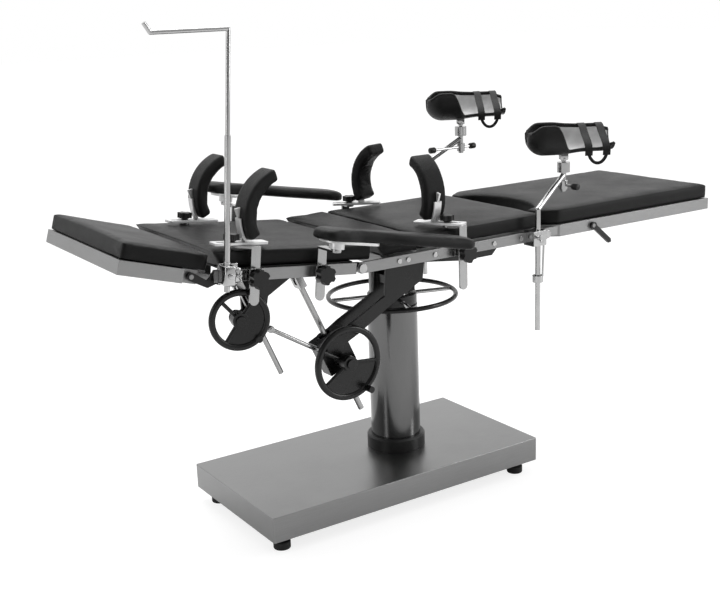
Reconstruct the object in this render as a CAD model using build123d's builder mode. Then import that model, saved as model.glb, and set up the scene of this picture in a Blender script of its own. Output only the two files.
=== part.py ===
from build123d import *
import os
from math import cos, radians, sin

# Operating table, rest pose: column down, back and head sections slightly raised.
# All sizes in mm. X runs from the head end to the foot end, Y away from the control side.

# Where the column stands under the centre of the whole outline
column_x = -89
column_y = 0

# Base
base_head_end = -566
base_foot_end = 362
base_half_width = 237
foot_height = 43
base_height = 72
base_top = foot_height + base_height
cover_wall = 2
base_corner = 4
chassis_gap = 3
chassis_depth = 40
chassis_wall = 14
chassis_rib = 16
foot_inset = 48
foot_radius = 24
foot_neck_radius = 15
foot_pad_height = 22
foot_bevel = 3

# Column
column_radius = 75
column_wall = 3
collar_radius = 88
collar_height = 42
collar_bevel = 5
slip = 0.08
touch_gap = 0.3
ram_radius = 56
ram_wall = 8
ram_bottom = 150
bush_height = 60

# Deck levels
deck_top = 820
pad_thick = 46
pad_half = 250
pad_base = deck_top - pad_thick
board_thick = 4
tray_depth = 35
frame_bottom = pad_base - tray_depth
crown_rise = 3
crown_radius = pad_half ** 2 / (2 * crown_rise)
pad_round = 7
pad_foot_round = 3
section_half_gap = 2.5

# Tilt head
tilt_height = deck_top - 155
fork_flange_radius = 65
fork_flange_bottom = tilt_height - 59
fork_flange_thick = 14
cheek_inner = 48
cheek_outer = 62
cheek_half = 40
cheek_round = 25
tilt_pin_radius = 12
cross_half = 30
saddle_inner = 46
saddle_outer = 60
saddle_half = 38
saddle_lug_drop = 25
saddle_plate_bottom = frame_bottom - 15
saddle_plate_half_x = 62
saddle_plate_half_y = 70

# Lift handwheel
lift_rim_radius = 190
lift_rim_bar = 7
lift_hub_radius = 74
lift_hub_gap = 0.6
lift_hub_top = fork_flange_bottom - 6
wheel_plane = lift_hub_top - 12
column_top = wheel_plane - 28
lift_spoke_radius = 6
lift_spoke_angles = [-18, 72, 162, 252]
rim_flat = 1

# Seat length and frame width, which the hinges and rails follow
seat_pad_head = -72
seat_pad_foot = 376
seat_frame_half = 233

# Hinges across the deck
hinge_z = frame_bottom + 18
back_hinge_x = -270
hinge_inset = 46
pad_end_inset = 40.5
sweep_radius = 77
lug_radius = 13
lug_inner = seat_frame_half + 3
lug_outer = lug_inner + 10
hinge_pin_radius = 6
leg_hinge_x = seat_pad_foot + 2

# Side rails
rail_inner = seat_frame_half + 18.5
rail_thick = 8
rail_outer = rail_inner + rail_thick
rail_bottom = frame_bottom + 3
rail_top = rail_bottom + 30
rail_end_radius = (rail_top - rail_bottom) / 2
rail_mid = (rail_top + rail_bottom) / 2
screw_head_radius = 7
screw_head_high = 3
pivot_head_radius = 12
pivot_head_high = 7

# Seat
kidney_head = -224
kidney_foot = -77
seat_frame_head = -190
seat_frame_foot = seat_pad_foot - 24
member_width = 16
member_bottom = rail_bottom
member_top = pad_base - board_thick
cross_members = [-182, -50, 150, seat_frame_foot - 8]
beam_half = 45
beam_foot = leg_hinge_x + 7
beam_waist = 684
beam_deep = 662
beam_step_x = 235
beam_nose = 36

# Kidney bridge
kidney_post_x = -140
kidney_post_y = 105
kidney_post_radius = 8
kidney_post_bottom = 640
kidney_tube_radius = 13
kidney_tube_bottom = 700
kidney_plate_head = -192
kidney_plate_foot = -84
kidney_plate_half = seat_frame_half - 3
post_member_half = 14

# Back section, drawn level and then raised about its hinge
back_raise = 6.2
back_pad_head = -709
back_frame_foot = -292
back_frame_half = rail_inner - 7.5
back_cross_members = [-540, -440, -304]
stiffener_x = -664
stiffener_half = 150

# Head section, drawn level and then raised about its own hinge
head_raise = 10.2
head_hinge_x = back_pad_head - hinge_inset
head_pad_foot = head_hinge_x + pad_end_inset
head_pad_length = 231
head_pad_head = head_pad_foot - head_pad_length
head_tray_foot = head_pad_foot - 19
tray_wall = 3

# Leg section
leg_foot = 1093
leg_pad_head = seat_pad_foot + 5
leg_corner_long = 59
leg_corner_wide = 45
cut_depth = 92
cut_half = 168

# Lock lever of the leg section
lever_x = 572
lever_z = 755
lever_length = 88
lever_root = 11
lever_tip = 5
lever_thick = 9
lever_fall = 40


def raise_back(x, z):
    """Where a point drawn on the level back section lies when the section is raised."""
    run, rise, turn = x - back_hinge_x, z - hinge_z, radians(back_raise)
    return (back_hinge_x + run * cos(turn) + rise * sin(turn),
            hinge_z - run * sin(turn) + rise * cos(turn))


def raise_head(x, z):
    """The same for a point of the head section."""
    run, rise, turn = x - head_hinge_x, z - hinge_z, radians(head_raise)
    return raise_back(head_hinge_x + run * cos(turn) + rise * sin(turn),
                      hinge_z - run * sin(turn) + rise * cos(turn))


def block(x0, x1, y0, y1, z0, z1, mode=Mode.ADD):
    """Box between six planes."""
    with Locations(((x0 + x1) / 2, (y0 + y1) / 2, (z0 + z1) / 2)):
        Box(x1 - x0, y1 - y0, z1 - z0, mode=mode)


def plate(points, y0, y1, mode=Mode.ADD):
    """Upright plate with a corner outline in X and Z, from y0 to y1."""
    with BuildSketch(Plane.XZ.offset(-y0), mode=Mode.PRIVATE) as outline:
        with BuildLine():
            Polyline(*points, close=True)
        make_face()
    extrude(outline.sketch, amount=y0 - y1, mode=mode)


def bar_y(x, z, radius, y0, y1, mode=Mode.ADD):
    """Round bar along Y."""
    with Locations((x, (y0 + y1) / 2, z)):
        Cylinder(radius, abs(y1 - y0), rotation=(90, 0, 0), mode=mode)


def bar_x(y, z, radius, x0, x1, mode=Mode.ADD):
    """Round bar along X."""
    with Locations(((x0 + x1) / 2, y, z)):
        Cylinder(radius, abs(x1 - x0), rotation=(0, 90, 0), mode=mode)


def post(x, y, radius, z0, z1, mode=Mode.ADD):
    """Upright round bar."""
    with Locations((x, y, (z0 + z1) / 2)):
        Cylinder(radius, z1 - z0, mode=mode)


def rod(start, end, radius, mode=Mode.ADD):
    """Round bar between two points."""
    start, end = Vector(*start), Vector(*end)
    run = end - start
    centre = Plane(origin=(start + end) * (1 / 2), z_dir=run)
    with Locations(centre.location):
        Cylinder(radius, run.length, mode=mode)


def knob(place, side, radius, high):
    """Fluted grip on a short neck, facing up (side 0) or out from a rail."""
    turn = (-quarter_turn * side, 0, 0)
    with Locations(Location(place, turn)):
        with BuildSketch(mode=Mode.PRIVATE) as flutes:
            Circle(radius)
            with PolarLocations(radius + flute_out, flute_count):
                Circle(flute_radius, mode=Mode.SUBTRACT)
        Cylinder(knob_neck, knob_neck_long, align=low_end)
    grip = flutes.sketch.moved(Location(place, turn) * Location((0, 0, knob_neck_long)))
    extrude(grip, amount=high)


def wheel_rim(radius, bar, turn, z=0):
    """Ring of a hand wheel, before its edges are rounded."""
    with Locations((0, 0, z)):
        Cylinder(radius + bar, 2 * bar, rotation=turn)
        Cylinder(radius - bar, 2 * bar, rotation=turn, mode=Mode.SUBTRACT)


low_end = (Align.CENTER, Align.CENTER, Align.MIN)
quarter_turn = 90
knob_radius = 25
knob_high = 22
stud_knob_radius = 20
stud_knob_high = 15
knob_neck = 9
knob_neck_long = 5
flute_count = 6
flute_radius = 9
flute_out = 4

# Base
with BuildPart() as base_cover:
    block(base_head_end, base_foot_end, -base_half_width, base_half_width, foot_height, base_top)
    fillet(base_cover.edges().filter_by(Axis.Z), base_corner)
    fillet(base_cover.faces().sort_by(Axis.Z)[-1].edges(), cover_wall)
    block(base_head_end + cover_wall, base_foot_end - cover_wall, cover_wall - base_half_width,
          base_half_width - cover_wall, foot_height, base_top - cover_wall, Mode.SUBTRACT)
    post(0, 0, column_radius + slip, foot_height, base_top, Mode.SUBTRACT)

chassis_head = base_head_end + cover_wall + chassis_gap
chassis_foot = base_foot_end - cover_wall - chassis_gap
chassis_half = base_half_width - cover_wall - chassis_gap
chassis_top = base_top - cover_wall - touch_gap
chassis_bottom = chassis_top - chassis_depth
foot_centres = [(x, y) for x in (base_head_end + foot_inset, base_foot_end - foot_inset)
                for y in (foot_inset - base_half_width, base_half_width - foot_inset)]
with BuildPart() as base_chassis:
    block(chassis_head, chassis_foot, -chassis_half, chassis_half, chassis_bottom, chassis_top)
    block(chassis_head + chassis_wall, chassis_foot - chassis_wall, chassis_wall - chassis_half,
          chassis_half - chassis_wall, chassis_bottom, chassis_top - chassis_wall, Mode.SUBTRACT)
    block(chassis_head, chassis_foot, -chassis_rib, chassis_rib, chassis_bottom, chassis_top)
    block(-column_radius, column_radius, -chassis_half, chassis_half, chassis_bottom, chassis_top)
    post(0, 0, column_radius, chassis_bottom, chassis_top, Mode.SUBTRACT)
    for foot_x, foot_y in foot_centres:
        post(foot_x, foot_y, foot_radius, chassis_bottom, chassis_top)
        post(foot_x, foot_y, foot_neck_radius - foot_bevel, chassis_bottom, chassis_top, Mode.SUBTRACT)

with BuildPart() as one_foot:
    post(0, 0, foot_radius, 0, foot_pad_height)
    fillet(one_foot.edges(), foot_bevel)
    post(0, 0, foot_neck_radius, foot_pad_height, foot_height + chassis_gap)
    post(0, 0, foot_neck_radius - foot_bevel, foot_height, chassis_top - chassis_wall)

with BuildPart() as levelling_feet:
    with Locations(*[(foot_x, foot_y, 0) for foot_x, foot_y in foot_centres]):
        add(one_foot.part)

with BuildPart() as column_collar:
    post(0, 0, collar_radius, base_top, base_top + collar_height)
    chamfer(column_collar.faces().sort_by(Axis.Z)[-1].edges(), collar_bevel)
    post(0, 0, column_radius, base_top, base_top + collar_height, Mode.SUBTRACT)

with BuildPart() as column_tube:
    post(0, 0, column_radius, chassis_bottom, column_top)
    post(0, 0, column_radius - column_wall, chassis_bottom, column_top, Mode.SUBTRACT)

with BuildPart() as column_bush:
    post(0, 0, column_radius - column_wall, column_top - bush_height, column_top)
    post(0, 0, ram_radius + slip, column_top - bush_height, column_top, Mode.SUBTRACT)

# Lift handwheel
with BuildPart() as lift_wheel:
    wheel_rim(lift_rim_radius, lift_rim_bar, (0, 0, 0), wheel_plane)
    fillet(lift_wheel.edges(), lift_rim_bar - rim_flat)
    post(0, 0, lift_hub_radius, column_top, lift_hub_top)
    for spoke_angle in lift_spoke_angles:
        aim_x, aim_y = cos(radians(spoke_angle)), sin(radians(spoke_angle))
        inside = (lift_hub_radius + ram_radius) / 2
        rod((inside * aim_x, inside * aim_y, wheel_plane),
            (lift_rim_radius * aim_x, lift_rim_radius * aim_y, wheel_plane), lift_spoke_radius)
    post(0, 0, ram_radius + lift_hub_gap, column_top, lift_hub_top, Mode.SUBTRACT)

# Ram and tilt head
fork_flange_top = fork_flange_bottom + fork_flange_thick
with BuildPart() as ram_tube:
    post(0, 0, ram_radius, ram_bottom, fork_flange_bottom)
    post(0, 0, ram_radius - ram_wall, ram_bottom, fork_flange_bottom, Mode.SUBTRACT)

with BuildPart() as fork_head:
    post(0, 0, fork_flange_radius, fork_flange_bottom, fork_flange_top)
    for side in (-1, 1):
        low, high = sorted((side * cheek_inner, side * cheek_outer))
        block(-cheek_half, cheek_half, low, high, fork_flange_bottom, tilt_height)
        bar_y(0, tilt_height, cheek_round, low, high)
        bar_y(0, tilt_height, tilt_pin_radius + slip, low, high, Mode.SUBTRACT)

with BuildPart() as tilt_cross:
    block(-cross_half, cross_half, -cross_half, cross_half, tilt_height - cross_half / 2,
          tilt_height + cross_half / 2)
    bar_y(0, tilt_height, tilt_pin_radius, -cheek_outer, cheek_outer)
    bar_x(0, tilt_height, tilt_pin_radius, -saddle_outer, saddle_outer)

with BuildPart() as main_beam:
    block(-saddle_plate_half_x, saddle_plate_half_x, -saddle_plate_half_y, saddle_plate_half_y,
          saddle_plate_bottom, frame_bottom)
    for side in (-1, 1):
        low, high = sorted((side * saddle_inner, side * saddle_outer))
        block(low, high, -saddle_half, saddle_half, tilt_height, saddle_plate_bottom)
        bar_x(0, tilt_height, saddle_lug_drop, low, high)
        bar_x(0, tilt_height, tilt_pin_radius + slip, low, high, Mode.SUBTRACT)
    plate([(saddle_outer, frame_bottom), (saddle_outer, beam_waist), (beam_step_x, beam_deep),
           (beam_foot - beam_nose, beam_deep), (beam_foot, beam_deep + beam_nose),
           (beam_foot, frame_bottom)], -beam_half, beam_half)
    fillet(main_beam.edges().filter_by(Axis.Y).group_by(Axis.X)[-1], beam_nose / 2)

# Seat frame: side members, cross members and the board over them
with BuildPart() as seat_frame:
    for side in (-1, 1):
        low, high = sorted((side * seat_frame_half, side * (seat_frame_half - member_width)))
        block(seat_frame_head, seat_frame_foot, low, high, member_bottom, member_top)
    for cross_x in cross_members:
        block(cross_x - member_width / 2, cross_x + member_width / 2, -seat_frame_half,
              seat_frame_half, member_bottom, member_top)
    block(seat_pad_head, seat_frame_foot, -seat_frame_half, seat_frame_half, member_top, pad_base)
    for side in (-1, 1):
        low, high = sorted((0, side * seat_frame_half))
        block(kidney_post_x - post_member_half, kidney_post_x + post_member_half, low, high,
              member_bottom, member_top - board_thick)
        post(kidney_post_x, side * kidney_post_y, kidney_tube_radius, kidney_tube_bottom,
             member_top - board_thick)
        post(kidney_post_x, side * kidney_post_y, kidney_post_radius + slip, kidney_tube_bottom,
             member_top, Mode.SUBTRACT)
    block(-saddle_plate_half_x, beam_foot - beam_nose, -beam_half, beam_half, frame_bottom,
          member_bottom)

rail_screw_places = [-150, -121, -30, 180, 280]
with BuildPart() as seat_rails:
    for side in (-1, 1):
        low, high = sorted((side * rail_inner, side * rail_outer))
        block(back_hinge_x, leg_hinge_x, low, high, rail_bottom, rail_top)
        for hinge_x in (back_hinge_x, leg_hinge_x):
            bar_y(hinge_x, rail_mid, rail_end_radius, low, high)
            bar_y(hinge_x, hinge_z, hinge_pin_radius, low, high, Mode.SUBTRACT)
        for screw_x in rail_screw_places:
            bar_y(screw_x, rail_mid, hinge_pin_radius, low, high, Mode.SUBTRACT)

# Rail fixings and hinge pins
with BuildPart() as rail_bolts:
    for side in (-1, 1):
        for screw_x in rail_screw_places:
            bar_y(screw_x, rail_mid, screw_head_radius, side * rail_outer,
                  side * (rail_outer + screw_head_high))
            bar_y(screw_x, rail_mid, hinge_pin_radius, side * seat_frame_half, side * rail_outer)
        for hinge_x in (back_hinge_x, leg_hinge_x):
            bar_y(hinge_x, hinge_z, pivot_head_radius, side * rail_outer,
                  side * (rail_outer + pivot_head_high))
            bar_y(hinge_x, hinge_z, hinge_pin_radius, side * lug_inner, side * rail_outer)


def pad_block(x0, x1):
    """Upholstered slab with a crown across the deck."""
    block(x0, x1, -pad_half, pad_half, pad_base, deck_top)
    with Locations(((x0 + x1) / 2, 0, deck_top - crown_radius)):
        Cylinder(crown_radius, x1 - x0, rotation=(0, 90, 0), mode=Mode.INTERSECT)


with BuildPart() as seat_pad:
    pad_block(seat_pad_head, seat_pad_foot)
    fillet(seat_pad.edges().filter_by(Axis.Z), pad_round)
    fillet(seat_pad.faces().sort_by(Axis.Z)[-1].edges(), pad_foot_round)

# Kidney bridge
with BuildPart() as kidney_bridge:
    block(kidney_plate_head, kidney_plate_foot, -kidney_plate_half, kidney_plate_half,
          member_top, pad_base)
    for side in (-1, 1):
        post(kidney_post_x, side * kidney_post_y, kidney_post_radius, kidney_post_bottom, member_top)

with BuildPart() as kidney_pad:
    pad_block(kidney_head, kidney_foot)
    fillet(kidney_pad.faces().sort_by(Axis.Z)[-1].edges(), pad_foot_round)
    bar_y(back_hinge_x, hinge_z, sweep_radius, -pad_half - pad_round, pad_half + pad_round,
          Mode.SUBTRACT)

# Back section
back_pad_foot = back_hinge_x + pad_end_inset
with BuildPart() as back_pad:
    pad_block(back_pad_head, back_pad_foot)
    fillet(back_pad.faces().sort_by(Axis.Z)[-1].edges(), pad_foot_round)
    bar_y(head_hinge_x, hinge_z, sweep_radius, -pad_half - pad_round, pad_half + pad_round,
          Mode.SUBTRACT)

back_frame_head = head_hinge_x + sweep_radius + chassis_gap
head_lug_outline = [(8, 8), (44, -12), (52, -4), (62, 13), (82, 13), (82, -15), (44, -30), (-4, -10)]
rod_pin_x = -428.1
rod_pin_z = 730.8
rod_bracket_outline = [(-452, 770), (-410, 770), (-417, 728), (-439, 728)]
rod_bracket_radius = 12
link_pin_radius = 5
drive_y = -185
link_half = 7
bracket_outline = [(-580, 742), (-452, 742), (-526, 690), (-532, 626), (-566, 626)]
gear_b_local = (-547.6, 629.2)
trunnion_radius = 10
bracket_end = 17
cheek_planes = [(-218, -210), (-160, -152)]
with BuildPart() as back_frame:
    for low, high in cheek_planes:
        plate(bracket_outline, low, high)
        bar_y(*gear_b_local, bracket_end, low, high)
        bar_y(*gear_b_local, trunnion_radius + slip, low, high, Mode.SUBTRACT)
    for side in (-1, 1):
        low, high = sorted((side * back_frame_half, side * (back_frame_half - member_width)))
        block(back_frame_head, back_frame_foot, low, high, member_bottom, member_top)
        low, high = sorted((side * lug_inner, side * lug_outer))
        block(back_frame_foot, back_hinge_x, low, high, hinge_z - lug_radius, hinge_z + lug_radius)
        bar_y(back_hinge_x, hinge_z, lug_radius, low, high)
        plate([(head_hinge_x + x, hinge_z + z) for x, z in head_lug_outline], low, high)
        bar_y(head_hinge_x, hinge_z, lug_radius - pad_foot_round, low, high)
        for lug_x in (back_hinge_x, head_hinge_x):
            bar_y(lug_x, hinge_z, hinge_pin_radius + slip, low, high, Mode.SUBTRACT)
    for cross_x in back_cross_members:
        block(cross_x - member_width / 2, cross_x + member_width / 2, -back_frame_half,
              back_frame_half, member_bottom, member_top)
    block(stiffener_x - member_width / 2, stiffener_x + member_width / 2, -stiffener_half,
          stiffener_half, member_bottom, member_top)
    block(back_frame_head, back_frame_foot, -back_frame_half, back_frame_half, member_top, pad_base)
    plate(rod_bracket_outline, drive_y - link_half, drive_y + link_half)
    bar_y(rod_pin_x, rod_pin_z, rod_bracket_radius, drive_y - link_half, drive_y + link_half)
    bar_y(rod_pin_x, rod_pin_z, link_pin_radius + slip, drive_y - link_half, drive_y + link_half,
          Mode.SUBTRACT)

back_rail_foot = back_hinge_x - rail_end_radius - section_half_gap
back_rail_head = -700
back_spacer_head = -660
back_spacer_foot = -310
with BuildPart() as back_rails:
    for side in (-1, 1):
        low, high = sorted((side * rail_inner, side * rail_outer))
        block(back_rail_head, back_rail_foot, low, high, rail_bottom, rail_top)
        low, high = sorted((side * back_frame_half, side * rail_inner))
        block(back_spacer_head, back_spacer_foot, low, high, rail_bottom + board_thick,
              rail_top - board_thick)

# Head section
head_lug_outer = lug_inner - 4.5
head_lug_inner = head_lug_outer - 15.5
head_notch_x = -778
head_notch_half = head_lug_outer + touch_gap
head_pin_end = lug_outer + 2
head_lever_outline = [(-790, 742), (-790, 760), (-740, 766), (-590, 760), (-590, 740), (-740, 742)]
head_lever_pin = (-596.4, 750.1)
with BuildPart() as head_pad:
    pad_block(head_pad_head, head_pad_foot)
    fillet(head_pad.edges().filter_by(Axis.Z), pad_round)
    fillet(head_pad.faces().sort_by(Axis.Z)[-1].edges(), pad_foot_round)

with BuildPart() as head_tray:
    with BuildSketch(Plane.XY.offset(frame_bottom)) as head_outline:
        with BuildLine():
            Polyline((head_pad_head, -pad_half), (head_notch_x, -pad_half),
                     (head_notch_x, -head_notch_half), (head_tray_foot, -head_notch_half),
                     (head_tray_foot, head_notch_half), (head_notch_x, head_notch_half),
                     (head_notch_x, pad_half), (head_pad_head, pad_half), close=True)
        make_face()
    extrude(amount=tray_depth)
    inner_outline = offset(head_outline.sketch, -tray_wall, mode=Mode.PRIVATE)
    extrude(inner_outline, amount=tray_depth - tray_wall, mode=Mode.SUBTRACT)
    for side in (-1, 1):
        low, high = sorted((side * head_lug_inner, side * head_lug_outer))
        block(head_notch_x, head_tray_foot, low, high, hinge_z - lug_radius, pad_base)
        bar_y(head_hinge_x, hinge_z, hinge_pin_radius, side * head_lug_inner, side * head_pin_end)
    plate(head_lever_outline, drive_y - link_half, drive_y + link_half)
    bar_y(*head_lever_pin, rod_bracket_radius, drive_y - link_half, drive_y + link_half)
    bar_y(*head_lever_pin, link_pin_radius + slip, drive_y - link_half, drive_y + link_half,
          Mode.SUBTRACT)


def leg_outline(inset):
    """Plan of the leg section, drawn in by a wall: slanted hinge corners and an oval cut."""
    corner_x, corner_y = leg_pad_head + leg_corner_long, pad_half - leg_corner_wide
    with BuildSketch(mode=Mode.PRIVATE) as leg_plan:
        with BuildLine():
            Polyline((leg_pad_head, -corner_y), (corner_x, -pad_half), (leg_foot, -pad_half),
                     (leg_foot, pad_half), (corner_x, pad_half), (leg_pad_head, corner_y), close=True)
        make_face()
        if inset > 0:
            offset(amount=-inset, kind=Kind.INTERSECTION)
        with Locations((leg_pad_head, 0)):
            Ellipse(cut_depth + inset, cut_half + inset, mode=Mode.SUBTRACT)
    return leg_plan.sketch


# Leg section
with BuildPart() as leg_pad:
    extrude(leg_outline(0).moved(Location((0, 0, pad_base))), amount=pad_thick)
    with Locations(((leg_pad_head + leg_foot) / 2, 0, deck_top - crown_radius)):
        Cylinder(crown_radius, leg_foot - leg_pad_head, rotation=(0, 90, 0), mode=Mode.INTERSECT)
    fillet(leg_pad.faces().sort_by(Axis.Z)[-1].edges(), pad_foot_round)

lever_tip_x = lever_x + lever_length * cos(radians(lever_fall))
lever_tip_z = lever_z - lever_length * sin(radians(lever_fall))
leg_lug_foot = leg_hinge_x + 62
with BuildPart() as leg_tray:
    tray_floor = Location((0, 0, frame_bottom))
    extrude(leg_outline(0).moved(tray_floor), amount=tray_depth)
    extrude(leg_outline(tray_wall).moved(tray_floor), amount=tray_depth - tray_wall,
            mode=Mode.SUBTRACT)
    for side in (-1, 1):
        low, high = sorted((side * lug_inner, side * lug_outer))
        block(leg_hinge_x, leg_lug_foot, low, high, hinge_z - lug_radius, hinge_z + lug_radius)
        bar_y(leg_hinge_x, hinge_z, lug_radius, low, high)
        bar_y(leg_hinge_x, hinge_z, hinge_pin_radius + slip, low, high, Mode.SUBTRACT)
    bar_y(lever_x, lever_z, hinge_pin_radius, -pad_half, touch_gap - pad_half - lever_thick)

with BuildPart() as leg_lock_lever:
    outside = -pad_half - touch_gap
    bar_y(lever_x, lever_z, lever_root, outside - lever_thick, outside)
    bar_y(lever_tip_x, lever_tip_z, lever_tip, outside - lever_thick, outside)
    with Locations(Location(((lever_x + lever_tip_x) / 2, outside - lever_thick / 2,
                             (lever_z + lever_tip_z) / 2), (0, lever_fall, 0))):
        Box(lever_length, lever_thick, 2 * lever_tip + lever_tip)
    bar_y(lever_x, lever_z, hinge_pin_radius + slip, outside - lever_thick, outside, Mode.SUBTRACT)

# Drive arm under the seat, carrying the gearbox of the back section
gear_a = (-337, 545)
arm_outline = [(-165, 738), (-36, 738), (-44, 682), (-145, 632), (-262, 566), (-350, 526),
               (-352, 560), (-290, 597), (-172, 655)]
arm_end = 26
arm_flange = (-165, -36)
arm_flange_wide = (-222, -148)
arm_spacer = (-158, -80)
arm_spacer_high = (684, 708)
with BuildPart() as drive_arm:
    for low, high in cheek_planes:
        plate(arm_outline, low, high)
        bar_y(*gear_a, arm_end, low, high)
        bar_y(*gear_a, trunnion_radius + slip, low, high, Mode.SUBTRACT)
    block(*arm_flange, *arm_flange_wide, arm_outline[0][1] - board_thick, member_bottom)
    block(*arm_spacer, cheek_planes[0][1], cheek_planes[1][0], *arm_spacer_high)

# Gearboxes, rods and crank wheels of both drives
box_a_half_wide = 44
box_b_half_wide = 28
box_slot_half = 19
box_slot_y = 9
box_wall_y = 22
box_above = 30
box_a_below = 74
box_b_below = 20
axle_radius = 8
axle_boss = 18
axle_root = -197
cheek_clear_y = -207
cheek_outside = -225
wheel_half_hub = 15
wheel_hub_radius = 21
cap_high = 5
clevis_radius = 10
clevis_inner = 7.3
clevis_outer = 18
clevis_bridge_start = 22
clevis_bridge_end = 34


def direction(start, end):
    """Unit step in the X-Z plane from start towards end."""
    run_x, run_z = end[0] - start[0], end[1] - start[1]
    reach = (run_x ** 2 + run_z ** 2) ** (1 / 2)
    return (run_x / reach, run_z / reach)


def turned_block(middle, aim, across, y0, y1, along, mode=Mode.ADD):
    """Box lying along a direction in the X-Z plane."""
    frame = Plane(origin=(middle[0], (y0 + y1) / 2, middle[1]), x_dir=(-aim[1], 0, aim[0]),
                  z_dir=(-aim[0], 0, -aim[1]))
    with Locations(frame.location):
        Box(across, y1 - y0, along, mode=mode)


def on_line(start, aim, distance):
    return (start[0] + aim[0] * distance, start[1] + aim[1] * distance)


def gearbox(pivot, aim, half_wide, below):
    """Block with trunnions and an oversize slot that the drive rod slides through."""
    middle = on_line(pivot, aim, (below - box_above) / 2)
    full = box_above + below
    turned_block(middle, aim, 2 * half_wide, drive_y - box_wall_y, drive_y + box_wall_y, full)
    bar_y(*pivot, trunnion_radius, cheek_planes[0][0], cheek_planes[1][1])
    turned_block(middle, aim, 2 * box_slot_half, drive_y - box_slot_y, drive_y + box_slot_y, 2 * full,
                 Mode.SUBTRACT)


def drive_rod(top, aim, length, radius):
    """Round rod with a forked eye on its top pin."""
    for side in (-1, 1):
        low, high = sorted((drive_y + side * clevis_inner, drive_y + side * clevis_outer))
        bar_y(*top, clevis_radius, low, high)
        turned_block(on_line(top, aim, clevis_bridge_end / 2), aim, 2 * clevis_radius, low, high,
                     clevis_bridge_end)
    turned_block(on_line(top, aim, (clevis_bridge_start + clevis_bridge_end) / 2), aim,
                 2 * clevis_radius, drive_y - clevis_outer, drive_y + clevis_outer,
                 clevis_bridge_end - clevis_bridge_start)
    bar_y(*top, link_pin_radius, drive_y - clevis_outer, drive_y + clevis_outer)
    start, end = on_line(top, aim, clevis_bridge_end), on_line(top, aim, length)
    rod((start[0], drive_y, start[1]), (end[0], drive_y, end[1]), radius)


def crank_wheel(rim_radius, sector, spokes, grip_angle, grip_end):
    """Disc sector, spokes, hub and grip of a hand wheel facing -Y about the origin."""
    with BuildSketch(Plane.XZ.offset(-web_half), mode=Mode.PRIVATE) as web:
        with BuildLine():
            arc = CenterArc((0, 0), rim_radius, sector[0], sector[1] - sector[0])
            Line(arc @ 1, (0, 0))
            Line((0, 0), arc @ 0)
        make_face()
    extrude(web.sketch, amount=2 * web_half)
    for angle in spokes:
        aim = (cos(radians(angle)), sin(radians(angle)))
        rod((0, 0, 0), (rim_radius * aim[0], 0, rim_radius * aim[1]), web_half + web_half)
    bar_y(0, 0, wheel_hub_radius, -wheel_half_hub, wheel_half_hub)
    grip_x, grip_z = rim_radius * cos(radians(grip_angle)), rim_radius * sin(radians(grip_angle))
    bar_y(grip_x, grip_z, grip_neck, -grip_start, 0)
    bar_y(grip_x, grip_z, grip_radius, -grip_end, -grip_start)
    bar_y(0, 0, axle_radius + slip, -wheel_half_hub, wheel_half_hub, Mode.SUBTRACT)


web_half = 2.5
grip_neck = 5
grip_radius = 9
grip_start = 9
rod_a_top = raise_back(rod_pin_x, rod_pin_z)
rod_a_length = 450
rod_a_radius = 8
wheel_a_y = -246
wheel_a_drop = 48
wheel_a_rim = 94
wheel_a_bar = 9
wheel_a_sector = (215, 355)
wheel_a_grip = -57
wheel_a_grip_end = 34
aim_a = direction(rod_a_top, gear_a)
wheel_a_centre = on_line(gear_a, aim_a, wheel_a_drop)
handle_y = -225
handle_tip = (-534, 632)
handle_root = (-330, 508)
handle_radius = 5.5
handle_ball = 9
with BuildPart() as gearbox_a:
    gearbox(gear_a, aim_a, box_a_half_wide, box_a_below)
    bar_y(*wheel_a_centre, axle_boss, cheek_outside, cheek_clear_y)
    bar_y(*wheel_a_centre, axle_radius, wheel_a_y - wheel_half_hub - touch_gap - cap_high, axle_root)
    bar_y(*wheel_a_centre, axle_radius + cap_high, wheel_a_y - wheel_half_hub - touch_gap - cap_high,
          wheel_a_y - wheel_half_hub - touch_gap)
    rod((handle_root[0], handle_y, handle_root[1]), (handle_tip[0], handle_y, handle_tip[1]),
        handle_radius)
    bar_y(*handle_tip, handle_ball, handle_y - handle_radius, handle_y + handle_radius)

with BuildPart() as rod_a:
    drive_rod(rod_a_top, aim_a, rod_a_length, rod_a_radius)

with BuildPart() as wheel_a:
    wheel_rim(wheel_a_rim, wheel_a_bar, (90, 0, 0))
    fillet(wheel_a.edges(), wheel_a_bar - rim_flat)
    crank_wheel(wheel_a_rim, wheel_a_sector, wheel_a_sector, wheel_a_grip, wheel_a_grip_end)

gear_b = raise_back(*gear_b_local)
rod_b_top = raise_head(*head_lever_pin)
rod_b_length = 286
rod_b_radius = 7
wheel_b_centre = (-626, -236, 676)
wheel_b_turn = 12
wheel_b_rim = 71
wheel_b_bar = 8.5
wheel_b_sector = (235, 410)
wheel_b_spokes = (130, 235, 410)
wheel_b_grip = 310
wheel_b_grip_end = 12.5
boss_half = 9
aim_b = direction(rod_b_top, gear_b)
axle_b = (-sin(radians(wheel_b_turn)), -cos(radians(wheel_b_turn)))
axle_b_root = 33
axle_b_end = wheel_half_hub + touch_gap + cap_high


def on_axle_b(distance):
    return (wheel_b_centre[0] + axle_b[0] * distance, wheel_b_centre[1] + axle_b[1] * distance,
            wheel_b_centre[2])


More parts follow.
